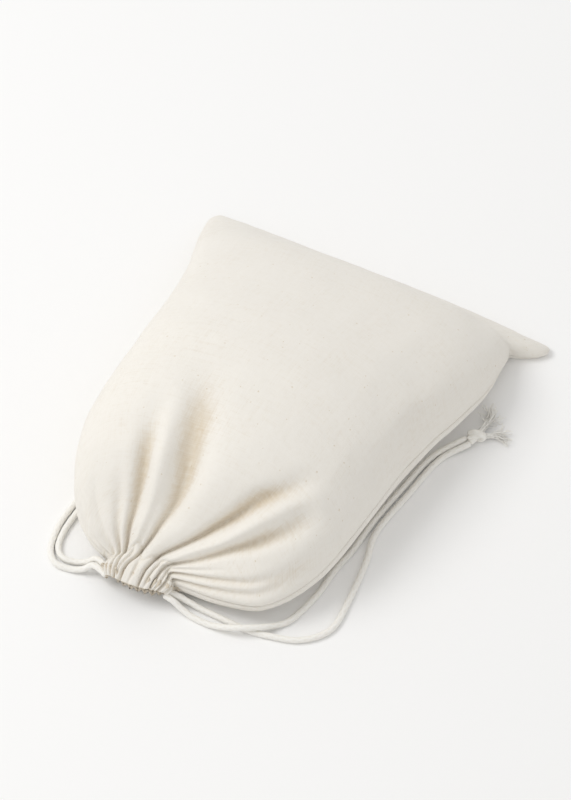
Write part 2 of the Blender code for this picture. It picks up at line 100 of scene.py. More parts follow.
# The folds that run up from the gathers of the front panel: reach, where across, and in metres the
# depth and the breadth. A negative depth is a ridge. Past the stitches they are the hem's pleats.
FRONT_FOLDS = (
    # from the left seam
    ((0.86, -0.90, 0.0, 0.0016), (0.92, -0.915, 0.0009, 0.0009), (0.95, -0.92, 0.0017, 0.0005),
     (1.0, -0.95, 0.0020, 0.0004)),
    ((0.78, -0.71, 0.0, 0.0030), (0.86, -0.735, 0.0006, 0.0022), (0.92, -0.755, 0.0013, 0.0013),
     (0.95, -0.77, 0.0022, 0.0005), (1.0, -0.80, 0.0028, 0.0004)),
    ((0.78, -0.53, 0.0, 0.0035), (0.86, -0.545, 0.0010, 0.0024), (0.90, -0.565, 0.0017, 0.0015),
     (0.93, -0.60, 0.0021, 0.0008), (0.95, -0.62, 0.0022, 0.0005), (1.0, -0.67, 0.0022, 0.0004)),
    ((0.60, -0.38, 0.0, 0.0060), (0.69, -0.385, 0.0019, 0.0052), (0.75, -0.39, 0.0037, 0.0040),
     (0.82, -0.395, 0.0045, 0.0029), (0.88, -0.41, 0.0038, 0.0018), (0.93, -0.45, 0.0029, 0.0008),
     (0.95, -0.49, 0.0025, 0.0005), (1.0, -0.55, 0.0029, 0.0005)),
    ((0.49, -0.25, 0.0, 0.0100), (0.57, -0.225, 0.0020, 0.0088), (0.65, -0.175, 0.0043, 0.0078),
     (0.74, -0.133, 0.0056, 0.0063), (0.80, -0.112, 0.0058, 0.0048), (0.85, -0.110, 0.0050, 0.0032),
     (0.89, -0.11, 0.0036, 0.0018), (0.925, -0.09, 0.0033, 0.0009), (0.95, -0.16, 0.0030, 0.0006),
     (0.975, -0.30, 0.0027, 0.0005), (1.0, -0.37, 0.0028, 0.0005)),
    ((0.62, 0.54, 0.0, 0.0064), (0.69, 0.48, 0.0027, 0.0056), (0.75, 0.375, 0.0053, 0.0044),
     (0.82, 0.30, 0.0058, 0.0030), (0.88, 0.24, 0.0045, 0.0018), (0.93, 0.25, 0.0032, 0.0009),
     (0.95, 0.21, 0.0030, 0.0006), (0.975, 0.14, 0.0030, 0.0006), (1.0, 0.12, 0.0029, 0.0005)),
    ((0.69, 0.67, 0.0, 0.0062), (0.76, 0.61, 0.0031, 0.0046), (0.83, 0.52, 0.0044, 0.0032),
     (0.875, 0.46, 0.0035, 0.0019), (0.91, 0.49, 0.0026, 0.0012), (0.935, 0.51, 0.0025, 0.0008),
     (0.96, 0.46, 0.0028, 0.0006), (1.0, 0.42, 0.0028, 0.0005)),
    ((0.74, 0.84, 0.0, 0.0042), (0.81, 0.81, 0.0013, 0.0031), (0.86, 0.77, 0.0018, 0.0022),
     (0.90, 0.73, 0.0020, 0.0013), (0.935, 0.70, 0.0023, 0.0007), (1.0, 0.64, 0.0025, 0.0005)),
    ((0.72, 0.90, 0.0, 0.0052), (0.80, 0.885, 0.0018, 0.0042), (0.88, 0.865, 0.0018, 0.0019),
     (0.935, 0.86, 0.0020, 0.0007), (1.0, 0.83, 0.0022, 0.0005)),
    # short pleats of the hem alone
    ((0.925, -0.27, 0.0, 0.0008), (0.945, -0.29, 0.0014, 0.0006), (0.965, -0.37, 0.0016, 0.0005),
     (0.985, -0.44, 0.0008, 0.0004), (1.0, -0.45, 0.0, 0.0004)),
    ((0.950, -0.04, 0.0, 0.0008), (0.970, -0.06, 0.0015, 0.0007), (0.985, -0.09, 0.0012, 0.0006),
     (1.0, -0.13, 0.0006, 0.0005)),
    ((0.925, 0.39, 0.0, 0.0007), (0.945, 0.37, 0.0013, 0.0005), (0.965, 0.31, 0.0017, 0.0004),
     (0.99, 0.27, 0.0011, 0.0004), (1.0, 0.27, 0.0004, 0.0004)),
    ((0.88, 0.62, 0.0, 0.0010), (0.92, 0.61, 0.0009, 0.0008), (0.95, 0.59, 0.0012, 0.0005),
     (1.0, 0.53, 0.0009, 0.0004)),
    # ridges
    ((0.55, -0.33, 0.0, 0.0060), (0.67, -0.31, -0.0013, 0.0052), (0.76, -0.275, -0.0020, 0.0042),
     (0.85, -0.275, -0.0018, 0.0028), (0.92, -0.28, -0.0010, 0.0016), (0.95, -0.33, -0.0006, 0.0012),
     (1.0, -0.46, -0.0002, 0.0010)),
    ((0.55, 0.14, 0.0, 0.0160), (0.69, 0.117, -0.0018, 0.0130), (0.79, 0.075, -0.0022, 0.0090),
     (0.89, 0.067, -0.0016, 0.0045), (0.94, 0.07, -0.0010, 0.0025), (1.0, -0.05, -0.0004, 0.0020)),
    ((0.64, 0.60, 0.0, 0.0060), (0.73, 0.51, -0.0016, 0.0045), (0.83, 0.405, -0.0024, 0.0034),
     (0.90, 0.365, -0.0014, 0.0018), (0.94, 0.42, -0.0008, 0.0014), (1.0, 0.34, -0.0004, 0.0010)),
)
# Short creases at the ear of the right bottom corner, where the filling stops: two ends, each as
# reach and where across, then the depth at the first end and the breadth, in metres.
EAR_CREASES = (
    ((0.096, 1.02), (0.080, 0.93), 0.0026, 0.0015),
    ((0.135, 1.00), (0.110, 0.94), -0.0012, 0.0026),
)
BACK_FOLDS = tuple(
    ((0.74 + 0.03 * (k % 3), place * 1.04, 0.0, 0.0040), (0.86, place, 0.0014, 0.0026),
     (0.93, place, 0.0018, 0.0009), (1.0, place + 0.02, 0.0021, 0.0006))
    for k, place in enumerate((-0.84, -0.66, -0.49, -0.30, -0.12, 0.07, 0.24, 0.43, 0.61, 0.80))
)
# How the line of stitches rides over the pleats: rise, count and start of each wave.
STITCH_WANDER = ((0.010, 9.0, 1.0), (0.006, 17.0, 2.0))


def smooth_table(table, places):
    """A table's rows at any places along its first column, on a curve that never overshoots."""
    table = np.array(table, dtype=float)
    knots = table[:, 0]
    rise = np.diff(table, axis=0) / np.diff(knots)[:, None]
    before, after = rise[:-1], rise[1:]
    total = np.where(before * after > 0, before + after, 1.0)
    slope = np.vstack([rise[:1], np.where(before * after > 0, 2 * before * after / total, 0), rise[-1:]])
    k = np.clip(np.searchsorted(knots, places, side="right") - 1, 0, len(knots) - 2)
    step = (knots[k + 1] - knots[k])[:, None]
    u = np.clip((places - knots[k])[:, None] / step, 0.0, 1.0)
    return (
        table[k] * (1 + 2 * u) * (1 - u) ** 2
        + table[k + 1] * u * u * (3 - 2 * u)
        + slope[k] * step * u * (1 - u) ** 2
        - slope[k + 1] * step * u * u * (1 - u)
    )


def ease(value, low, high):
    """0 below low, 1 above high, and a smooth rise between them."""
    u = np.clip((value - low) / (high - low), 0.0, 1.0)
    return u * u * (3 - 2 * u)


def evenly_along(points, count):
    """A line of points read again at count + 1 points that lie evenly along it."""
    steps = np.linalg.norm(np.diff(points, axis=0), axis=1)
    far = np.concatenate([[0.0], np.cumsum(steps)])
    want = np.linspace(0.0, far[-1], count + 1)
    return np.column_stack([np.interp(want, far, points[:, k]) for k in range(3)])


def ring_in_metres(row):
    """One row of RINGS as reach, both seam points, the crown's height and the bow."""
    reach, left_x, left_along, left_up, right_x, right_along, right_up, crown, bow, at_mouth = row
    middle, half, tall = 0.0, BAG_WIDTH / 2, FILL_HEIGHT
    if at_mouth:
        middle, half, tall = MOUTH_X, MOUTH_WIDTH / 2, MOUTH_HEIGHT
    return (
        reach,
        middle + half * left_x, BAG_LENGTH * (0.5 - left_along), max(tall * left_up, 0.0012),
        middle + half * right_x, BAG_LENGTH * (0.5 - right_along), max(tall * right_up, 0.0012),
        tall * crown, BAG_LENGTH * bow,
    )


def panel_row(ring, side, columns):
    """One row of a panel from the left seam to the right one. side is 1 for the front, -1 back."""
    reach, left_x, left_y, left_z, right_x, right_y, right_z, crown, bow = ring
    across = np.sin(np.linspace(-0.5 * math.pi, 0.5 * math.pi, 600))
    share = (across + 1) / 2
    x = (left_x + right_x) / 2 + (right_x - left_x) / 2 * across
    y = left_y + (right_y - left_y) * share + bow * (1 - across**2)
    seam_z = left_z + (right_z - left_z) * share
    dome = (1 - np.abs(across) ** SECTION_POWER) ** (1 / SECTION_POWER)
    if side > 0:
        z = seam_z + max(crown - (left_z + right_z) / 2, 0.0) * dome
    else:
        y = y + MOUTH_LIP * ease(reach, STITCH_REACH, 1.0)
        pressed = REST_SHARE * ease(reach, 0.0, 0.015) * dome
        z = seam_z * (1 - np.minimum(pressed, 1.0))
    return evenly_along(np.column_stack([x, y, z]), columns)


def outward(grid, side):
    """The directions square to a grid of points, out of the pouch."""
    across = np.gradient(grid, axis=1)
    along = np.gradient(grid, axis=0)
    normal = np.cross(along, across) * side
    return normal / np.maximum(np.linalg.norm(normal, axis=2), 1e-12)[:, :, None]


def fold_depth(folds, reaches, across, half_widths):
    """How far the folds draw a panel in, at each place on its grid."""
    depth = np.zeros((len(reaches), len(across)))
    for fold in folds:
        rows = smooth_table(fold, reaches)
        inside = (reaches >= fold[0][0])[:, None]
        offset = (across[None, :] - rows[:, 1:2]) * half_widths[:, None]
        depth += inside * rows[:, 2:3] * np.exp(-((offset / rows[:, 3:4]) ** 2))
    return depth


def crease_depth(creases, reach, wide, half_widths):
    """How far the short creases draw a panel in, each fading out towards its second end."""
    depth = np.zeros_like(reach)
    for (reach_a, wide_a), (reach_b, wide_b), deep, breadth in creases:
        x, y = (wide - wide_a) * half_widths[:, None], (reach - reach_a) * BAG_LENGTH
        run_x = ((wide_b - wide_a) * half_widths)[:, None]
        run_y = (reach_b - reach_a) * BAG_LENGTH
        part = np.clip((x * run_x + y * run_y) / (run_x**2 + run_y**2), 0.0, 1.0)
        gap = np.hypot(x - part * run_x, y - part * run_y)
        depth += deep * (1 - ease(part, 0.1, 1.0)) * np.exp(-((gap / breadth) ** 2))
    return depth


def stitch_reach(wide):
    """The reach of the line of stitches, at each place across a panel."""
    return STITCH_REACH + sum(rise * np.sin(count * wide + start) for rise, count, start in STITCH_WANDER)


def soft_waves(across, reach, seed):
    """The slight waves of slack cloth, from about -1 to 1."""
    chance = np.random.default_rng(seed)
    waves = np.zeros_like(across)
    for _ in range(14):
        turn = chance.uniform(0, 2 * math.pi)
        count = chance.uniform(3.0, 9.0)
        way = math.cos(turn) * across + 2.2 * math.sin(turn) * reach
        waves += np.sin(count * way + chance.uniform(0, 6.28))
    return waves / 5.0


def plain_grid(side, reaches, columns):
    """A panel's outer face as a grid of points, before it has any fold."""
    rings = smooth_table([ring_in_metres(row) for row in RINGS], reaches)
    return np.array([panel_row(ring, side, columns) for ring in rings])


def grid_quads(index):
    """The four corners of each cell of a grid of point numbers."""
    return np.stack([index[:-1, :-1], index[1:, :-1], index[1:, 1:], index[:-1, 1:]], axis=2).reshape(-1, 4)


def filled_out(reaches, columns):
    """How the filling's push moves both panels, from a cloth simulation of the plain pouch."""
    front, back = (plain_grid(side, reaches, columns) for side in (1, -1))
    index_front = np.arange(front.shape[0] * front.shape[1]).reshape(front.shape[:2])
    index_back = index_front + index_front.size
    index_back[0] = index_front[0]
    index_back[:, 0] = index_front[:, 0]
    index_back[:, -1] = index_front[:, -1]
    faces = []
    for index, turn in ((index_front, 1), (index_back, -1)):
        faces += grid_quads(index)[:, ::turn].tolist()
    places = np.concatenate([front.reshape(-1, 3), back.reshape(-1, 3)])
    used = np.unique(np.concatenate([index_front.ravel(), index_back.ravel()]))
    new_index = np.full(len(places), -1)
    new_index[used] = np.arange(len(used))
    mesh = bpy.data.meshes.new("filling_out")
    mesh.from_pydata(places[used].tolist(), [], [[int(new_index[k]) for k in face] for face in faces])
    thing = bpy.data.objects.new("filling_out", mesh)
    bpy.context.scene.collection.objects.link(thing)
    held = thing.vertex_groups.new(name="held")
    reach_of = np.concatenate([np.repeat(reaches, columns + 1)] * 2)[used]
    at_seam = np.zeros(front.shape[:2], dtype=bool)
    at_seam[0] = at_seam[:, 0] = at_seam[:, -1] = True
    at_seam = np.concatenate([at_seam.ravel()] * 2)[used]
    fixed = np.flatnonzero((reach_of > GATHERS_FROM) | at_seam | (places[used][:, 2] < PRESSED_HEIGHT))
    held.add(fixed.tolist(), 1.0, "REPLACE")
    cloth = thing.modifiers.new("cloth", "CLOTH")
    cloth.settings.vertex_group_mass = "held"
    cloth.settings.mass = CLOTH_POINT_MASS
    cloth.settings.quality = 8
    cloth.settings.tension_stiffness = cloth.settings.compression_stiffness = 12.0
    cloth.settings.shear_stiffness = 4.0
    cloth.settings.bending_stiffness = 0.02
    cloth.settings.air_damping = 2.0
    cloth.settings.use_pressure = True
    cloth.settings.uniform_pressure_force = FILLING_PRESSURE
    cloth.settings.shrink_min = cloth.settings.shrink_max = -CLOTH_SLACK
    cloth.settings.effector_weights.gravity = 0.0
    cloth.collision_settings.use_collision = False
    for number in range(1, CLOTH_FRAMES + 1):
        bpy.context.scene.frame_set(number)
    now = thing.evaluated_get(bpy.context.evaluated_depsgraph_get()).to_mesh()
    moved = np.empty(len(used) * 3)
    now.vertices.foreach_get("co", moved)
    moved = moved.reshape(-1, 3) - places[used]
    bpy.data.objects.remove(thing)
    bpy.context.scene.frame_set(1)
    far = np.linalg.norm(moved, axis=1)
    moved *= np.minimum(1.0, MOST_MOVED / np.maximum(far, 1e-9))[:, None]
    sides = []
    for index in (index_front, index_back):
        side = moved[new_index[index]]
        for _ in range(SMOOTHINGS):
            inner = (side[:-2, 1:-1] + side[2:, 1:-1] + side[1:-1, :-2] + side[1:-1, 2:]) / 4
            side[1:-1, 1:-1] = (side[1:-1, 1:-1] + inner) / 2
        sides.append(side)
    return sides


def finer(values, rows, columns, new_rows, new_columns):
    """A grid of numbers read again on a finer grid."""
    tall = smooth_table(np.column_stack([rows, values]), new_rows)[:, 1:]
    return smooth_table(np.column_stack([columns, tall.T]), new_columns)[:, 1:].T


def panel_grid(side, folds, reaches, columns, seed):
    """A panel's outer face as a grid of points, with its folds, gathers and slack, and how deep each point lies
    in a fold for the painted fold shade.
    """
    across = np.linspace(-1, 1, columns + 1)
    grid = plain_grid(side, reaches, columns)
    if pushed is not None:
        coarse_across = np.linspace(-1, 1, COARSE_COLUMNS + 1)
        for axis in range(3):
            moved = pushed[0 if side > 0 else 1][:, :, axis]
            grid[:, :, axis] += finer(moved, COARSE_REACHES, coarse_across, reaches, across)
    half_widths = np.linalg.norm(np.diff(grid, axis=1), axis=2).sum(axis=1) / 2
    reach = np.repeat(reaches[:, None], columns + 1, axis=1)
    wide = np.repeat(across[None, :], len(reaches), axis=0)
    from_seam = (1 - np.abs(wide)) * half_widths[:, None]
    from_bottom = reach * BAG_LENGTH
    edge = np.minimum(from_seam, from_bottom)
    folded = fold_depth(folds, reaches, across, half_widths)
    move = -folded
    if side > 0:
        move -= crease_depth(EAR_CREASES, reach, wide, half_widths)
    move += SLACK_WAVE * soft_waves(wide, reach, seed) * ease(edge, 0.004, 0.03)
    near_seam, near_bottom = np.exp(-from_seam / PUCKER_REACH), np.exp(-from_bottom / PUCKER_REACH)
    puckers = np.sin(BAG_LENGTH * reach / 0.0016 + 2.0 * np.sin(37 * reach)) * near_seam
    puckers += np.sin(BAG_WIDTH * wide / 0.0036 + 2.0 * np.sin(9 * wide)) * near_bottom
    move += SEAM_PUCKER * puckers * ease(edge, 0.0002, 0.0015)
    hem = np.clip((reach - STITCH_REACH) / (1 - STITCH_REACH), 0, 1)
    move += HEM_FULLNESS * np.sin(math.pi * hem) ** 0.8
    move -= STITCH_DRAW_IN * np.exp(-(((reach - stitch_reach(wide)) * BAG_LENGTH / 0.0008) ** 2))
    move *= ease(from_seam, 0.0, 0.0026)
    move += SEAM_ALLOWANCE_LIFT * np.sqrt(np.clip(edge / 0.0014, 0.0, 1.0)) * (1 - ease(reach, 0.90, 0.94))
    grid = grid + outward(grid, side) * move[:, :, None]
    if side < 0:
        grid[:, :, 2] = np.maximum(grid[:, :, 2], 0.0)
    # The second value, from 0 to 1, is how deep each point lies in a fold, which sets the painted fold shade.
    return grid, ease(folded, 0.0, 0.0052)


def rolled_rim(grid, side):
    """More rows past the edge of the mouth, that roll in and run back inside the hem."""
    ahead = grid[-1] - grid[-4]
    ahead /= np.linalg.norm(ahead, axis=1)[:, None]
    normal = outward(grid, side)[-1]
    rows = [
        grid[-1] + RIM_RADIUS * (math.sin(turn) * ahead - (1 - math.cos(turn)) * normal)
        for turn in np.radians((35, 70, 105, 140, 175))
    ]
    rows += [rows[-1] - ahead * back for back in (0.001, 0.0025, 0.0045)]
    rows = np.array(rows)
    rows[:, :, 2] = np.maximum(rows[:, :, 2], 2 * CLOTH_THICKNESS)
    return np.concatenate([grid, rows])


def cloth_object(name, grid, folded, side, material):
    """A panel's mesh from its grid, with a UV map that measures the cloth in metres and the painted fold shade at
    each point.
    """
    rows, columns = grid.shape[:2]
    across = np.linalg.norm(np.diff(grid, axis=1), axis=2)
    u = np.concatenate([np.zeros((rows, 1)), np.cumsum(across, axis=1)], axis=1)
    u -= u[:, columns // 2][:, None]
    along = np.linalg.norm(np.diff(grid, axis=0), axis=2)
    v = np.concatenate([np.zeros((1, columns)), np.cumsum(along, axis=0)])
    index = np.arange(rows * columns).reshape(rows, columns)
    quads = grid_quads(index)
    if side < 0:
        quads = quads[:, ::-1]
    mesh = bpy.data.meshes.new(name)
    mesh.from_pydata(grid.reshape(-1, 3).tolist(), [], quads.tolist())
    layer = mesh.uv_layers.new(name="cloth")
    places = np.column_stack([u.ravel(), v.ravel()])[quads.ravel()]
    layer.data.foreach_set("uv", places.astype(np.float32).ravel())
    # Painted shade: how deep each point lies in a fold is stored for the material to darken the colour there, and
    # the rolled rim's rows, which turn in under the hem's edge, get the full painted shade.
    painted_fold_shade = mesh.attributes.new("painted_fold_shade", "FLOAT", "POINT")
    depth = np.zeros((rows, columns))
    depth[:len(folded)] = folded
    depth[len(folded):] = 1.0
    painted_fold_shade.data.foreach_set("value", depth.astype(np.float32).ravel())
    mesh.shade_smooth()
    mesh.materials.append(material)
    thing = bpy.data.objects.new(name, mesh)
    bpy.context.scene.collection.objects.link(thing)
    thicken = thing.modifiers.new("cloth", "SOLIDIFY")
    thicken.thickness = CLOTH_THICKNESS
    thicken.offset = -1.0
    return thing


def plain_mesh(thing):
    """Puts what the modifiers make into the object's own mesh."""
    mesh = bpy.data.meshes.new_from_object(thing.evaluated_get(bpy.context.evaluated_depsgraph_get()))
    thing.modifiers.clear()
    thing.data = mesh
    mesh.name = thing.name
    return thing


def maths(tree, work, first, second=0.0):
    """A Math node in a material, fed with numbers or with other nodes' outputs."""
    step = tree.nodes.new("ShaderNodeMath")
    step.operation = work
    for socket, value in zip(step.inputs, (first, second)):
        if isinstance(value, (int, float)):
            socket.default_value = value
        else:
            tree.links.new(value, socket)
    return step.outputs[0]


def grain(tree, vector, scale, detail=2.0):
    """A Noise node's value, on the given coordinates."""
    noise = tree.nodes.new("ShaderNodeTexNoise")
    noise.inputs["Scale"].default_value = scale
    noise.inputs["Detail"].default_value = detail
    tree.links.new(vector, noise.inputs["Vector"])
    return noise.outputs["Fac"]


def stretched(tree, x, y, x_scale, y_scale):
    """Coordinates with each way scaled by itself."""
    join = tree.nodes.new("ShaderNodeCombineXYZ")
    tree.links.new(maths(tree, "MULTIPLY", x, x_scale), join.inputs[0])
    tree.links.new(maths(tree, "MULTIPLY", y, y_scale), join.inputs[1])
    return join.outputs[0]


def ramp(tree, value, stops):
    """A value turned into a colour."""
    node = tree.nodes.new("ShaderNodeValToRGB")
    band = node.color_ramp
    for k, (place, colour) in enumerate(stops):
        stop = band.elements[k] if k < 2 else band.elements.new(place)
        stop.position = place
        stop.color = (*colour, 1.0)
    tree.links.new(value, node.inputs[0])
    return node.outputs[0]


def bump(tree, height, distance, strength, under=None):
    """A Bump node, over another one where given."""
    node = tree.nodes.new("ShaderNodeBump")
    node.inputs["Distance"].default_value = distance
    node.inputs["Strength"].default_value = strength
    tree.links.new(height, node.inputs["Height"])
    if under is not None:
        tree.links.new(under, node.inputs["Normal"])
    return node.outputs["Normal"]


def cotton_weave(name, dark, middle, light, yarn):
    """Undyed plain weave: yarns a set distance apart, slubs, faint flecks and small crinkles, with painted shade
    in the grooves between the yarns and in the folds.
    """
    material = bpy.data.materials.new(name)
    material.use_nodes = True
    tree = material.node_tree
    shader = tree.nodes["Principled BSDF"]
    uv = tree.nodes.new("ShaderNodeUVMap")
    uv.uv_map = "cloth"
    split = tree.nodes.new("ShaderNodeSeparateXYZ")
    tree.links.new(uv.outputs[0], split.inputs[0])
    u, v = split.outputs[0], split.outputs[1]
    wander = maths(tree, "MULTIPLY", maths(tree, "SUBTRACT", grain(tree, uv.outputs[0], 130.0), 0.5), 0.0012)
    warp = maths(tree, "SINE", maths(tree, "MULTIPLY", maths(tree, "ADD", u, wander), math.pi / yarn))
    weft = maths(tree, "SINE", maths(tree, "MULTIPLY", maths(tree, "SUBTRACT", v, wander), math.pi / yarn))
    crossing = maths(tree, "MULTIPLY", warp, weft)
    pillow = maths(tree, "POWER", maths(tree, "ABSOLUTE", crossing), 0.5)
    warp_slubs = grain(tree, stretched(tree, u, v, 0.9 / yarn, 55.0), 1.0, 1.0)
    weft_slubs = grain(tree, stretched(tree, u, v, 55.0, 0.9 / yarn), 1.0, 1.0)
    slubs = maths(tree, "ADD", warp_slubs, weft_slubs)
    patches = grain(tree, uv.outputs[0], 38.0, 3.0)
    tone = maths(tree, "ADD", maths(tree, "MULTIPLY", slubs, 0.20), maths(tree, "MULTIPLY", patches, 0.22))
    # Painted shade: the yarns' crests are lighter and the grooves between them darker.
    tone = maths(tree, "ADD", tone, maths(tree, "MULTIPLY", pillow, 0.10))
    tone = maths(tree, "ADD", tone, maths(tree, "MULTIPLY", grain(tree, uv.outputs[0], 460.0, 2.0), 0.26))
    tone = maths(tree, "ADD", tone, 0.04)
    flecks = maths(tree, "GREATER_THAN", grain(tree, uv.outputs[0], 700.0, 0.0), 0.835)
    tone = maths(tree, "SUBTRACT", tone, maths(tree, "MULTIPLY", flecks, 0.3))
    # Painted shade: the colour is darkened where the cloth lies deep in a fold and on the rolled rim.
    fold_shade_attribute = tree.nodes.new("ShaderNodeAttribute")
    fold_shade_attribute.attribute_name = "painted_fold_shade"
    tone = maths(tree, "SUBTRACT", tone, maths(tree, "MULTIPLY", fold_shade_attribute.outputs["Fac"], 0.36))
    tree.links.new(ramp(tree, tone, ((0.0, dark), (0.5, middle), (1.0, light))), shader.inputs["Base Color"])
    height = maths(tree, "ADD", pillow, maths(tree, "MULTIPLY", crossing, 0.3))
    height = maths(tree, "ADD", height, maths(tree, "MULTIPLY", slubs, 0.5))
    crinkles = grain(tree, uv.outputs[0], 210.0, 3.0)
    soft = bump(tree, crinkles, 0.00028, 0.55)
    tree.links.new(bump(tree, height, 0.00007, 0.7, soft), shader.inputs["Normal"])
    shader.inputs["Roughness"].default_value = 0.88
    shader.inputs["Specular IOR Level"].default_value = 0.25
    shader.inputs["Sheen Weight"].default_value = 0.18
    shader.inputs["Sheen Roughness"].default_value = 0.5
    return material


# The ramp's dark end colours both the real flecks and the warm painted shade of the folds.
pouch_cotton = cotton_weave(
    "pouch_cotton", (0.66, 0.555, 0.405), (0.865, 0.828, 0.760), (0.915, 0.890, 0.840), 0.00046)
pushed = filled_out(COARSE_REACHES, COARSE_COLUMNS)
front_reaches = np.concatenate([
    np.linspace(0, 1, 13)[:-1] ** 1.6 * 0.03, np.linspace(0.03, 0.85, 96)[:-1], np.linspace(0.85, 1.0, 72)])
back_reaches = np.concatenate([
    np.linspace(0, 1, 9)[:-1] ** 1.6 * 0.03, np.linspace(0.03, 0.86, 62)[:-1], np.linspace(0.86, 1.0, 44)])
front_grid, front_fold_shade = panel_grid(1, FRONT_FOLDS, front_reaches, 230, 5)
back_grid, back_fold_shade = panel_grid(-1, BACK_FOLDS, back_reaches, 170, 8)
pouch_front = plain_mesh(cloth_object(
    "pouch_front", rolled_rim(front_grid, 1), front_fold_shade, 1, pouch_cotton))
pouch_back = plain_mesh(cloth_object(
    "pouch_back", rolled_rim(back_grid, -1), back_fold_shade, -1, pouch_cotton))
for panel, stands_for in (
        (pouch_front, ("front_panel", "front_channel")),
        (pouch_back, ("back_panel", "back_channel"))):
    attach(panel, "root")
    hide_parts(*stands_for)

# The hem's stitches.
# One line of lockstitch in undyed cotton thread, through both layers of the folded hem, a hem's
# depth from the edge. It holds the hem shut round the cords and is gathered up with it.
STITCH_LENGTH = 0.0021
STITCH_PITCH = 0.0026
STITCH_THREAD = 0.00032


def node_tree(name, sizes):
    """A Geometry Nodes tree with a geometry in and out, and named inputs in metres."""
    tree = bpy.data.node_groups.new(name, "GeometryNodeTree")
    tree.interface.new_socket("Geometry", in_out="INPUT", socket_type="NodeSocketGeometry")
    for size in sizes:
        tree.interface.new_socket(size, in_out="INPUT", socket_type="NodeSocketFloat")
    tree.interface.new_socket("Material", in_out="INPUT", socket_type="NodeSocketMaterial")
    tree.interface.new_socket("Geometry", in_out="OUTPUT", socket_type="NodeSocketGeometry")
    return tree, tree.nodes.new("NodeGroupInput"), tree.nodes.new("NodeGroupOutput")


def finish_tree(tree, shapes, given, end):
    """Realize Instances, Set Material and the output, at the end of a tree."""
    real = tree.nodes.new("GeometryNodeRealizeInstances")
    paint = tree.nodes.new("GeometryNodeSetMaterial")
    tree.links.new(shapes, real.inputs[0])
    tree.links.new(real.outputs[0], paint.inputs["Geometry"])
    tree.links.new(given.outputs["Material"], paint.inputs["Material"])
    tree.links.new(paint.outputs[0], end.inputs[0])


def grown(name, lines, tree, values):
    """The plain mesh that a tree makes along lines, each an array of points."""
    points = np.concatenate(lines)
    edges, start = [], 0
    for line in lines:
        edges += [(start + k, start + k + 1) for k in range(len(line) - 1)]
        start += len(line)
    mesh = bpy.data.meshes.new(name)
    mesh.from_pydata(points.tolist(), edges, [])
    thing = bpy.data.objects.new(name, mesh)
    bpy.context.scene.collection.objects.link(thing)
    modifier = thing.modifiers.new("grow", "NODES")
    modifier.node_group = tree
    for item in tree.interface.items_tree:
        if item.in_out == "INPUT" and item.name in values:
            modifier[item.identifier] = values[item.name]
    return plain_mesh(thing)


def stitch_tree():
    """A stitch at each step along the lines."""
    tree, given, end = node_tree("stitches", ("Stitch length", "Stitch pitch", "Thread thickness"))
    line = tree.nodes.new("GeometryNodeMeshToCurve")
    spaced = tree.nodes.new("GeometryNodeCurveToPoints")
    spaced.mode = "LENGTH"
    stitch = tree.nodes.new("GeometryNodeMeshUVSphere")
    stitch.inputs["Segments"].default_value = 7
    stitch.inputs["Rings"].default_value = 5
    stitch.inputs["Radius"].default_value = 0.5
    size = tree.nodes.new("ShaderNodeCombineXYZ")
    place = tree.nodes.new("GeometryNodeInstanceOnPoints")
    tree.links.new(given.outputs["Geometry"], line.inputs[0])
    tree.links.new(line.outputs[0], spaced.inputs["Curve"])
    tree.links.new(given.outputs["Stitch pitch"], spaced.inputs["Length"])
    tree.links.new(spaced.outputs["Points"], place.inputs["Points"])
    tree.links.new(spaced.outputs["Rotation"], place.inputs["Rotation"])
    tree.links.new(stitch.outputs[0], place.inputs["Instance"])
    tree.links.new(given.outputs["Thread thickness"], size.inputs[0])
    tree.links.new(given.outputs["Thread thickness"], size.inputs[1])
    tree.links.new(given.outputs["Stitch length"], size.inputs[2])
    tree.links.new(size.outputs[0], place.inputs["Scale"])
    finish_tree(tree, place.outputs[0], given, end)
    return tree


def cotton_yarn(name, dark, light, finest):
    """Loose undyed yarn, uneven along its length, on the object's own coordinates."""
    material = bpy.data.materials.new(name)
    material.use_nodes = True
    tree = material.node_tree
    shader = tree.nodes["Principled BSDF"]
    place = tree.nodes.new("ShaderNodeTexCoord")
    fibres = grain(tree, place.outputs["Object"], finest, 3.0)
    tree.links.new(ramp(tree, fibres, ((0.25, dark), (0.75, light))), shader.inputs["Base Color"])
    tree.links.new(bump(tree, fibres, 0.0001, 0.5), shader.inputs["Normal"])
    shader.inputs["Roughness"].default_value = 0.9
    shader.inputs["Specular IOR Level"].default_value = 0.2
    shader.inputs["Sheen Weight"].default_value = 0.25
    return material


def line_on(grid, reaches, side, lift):
    """The line of stitches across a panel, lifted off its face."""
    skin = grid + outward(grid, side) * lift
    columns = grid.shape[1]
    rows = np.interp(stitch_reach(np.linspace(-1, 1, columns)), reaches, np.arange(len(reaches)))
    low = np.floor(rows).astype(int)
    share = (rows - low)[:, None]
    every = np.arange(columns)
    line = skin[low, every] * (1 - share) + skin[low + 1, every] * share
    line[:, 2] = np.maximum(line[:, 2], STITCH_THREAD)
    return line[3:-3]


stitch_line = [
    line_on(front_grid, front_reaches, 1, 0.00008),
    line_on(back_grid, back_reaches, -1, 0.00008),
]
hem_stitches = grown("hem_stitches", stitch_line, stitch_tree(), {
    "Stitch length": STITCH_LENGTH,
    "Stitch pitch": STITCH_PITCH,
    "Thread thickness": STITCH_THREAD,
    "Material": cotton_yarn("stitch_thread", (0.72, 0.66, 0.55), (0.90, 0.87, 0.79), 1800.0),
})
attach(hem_stitches, "root")

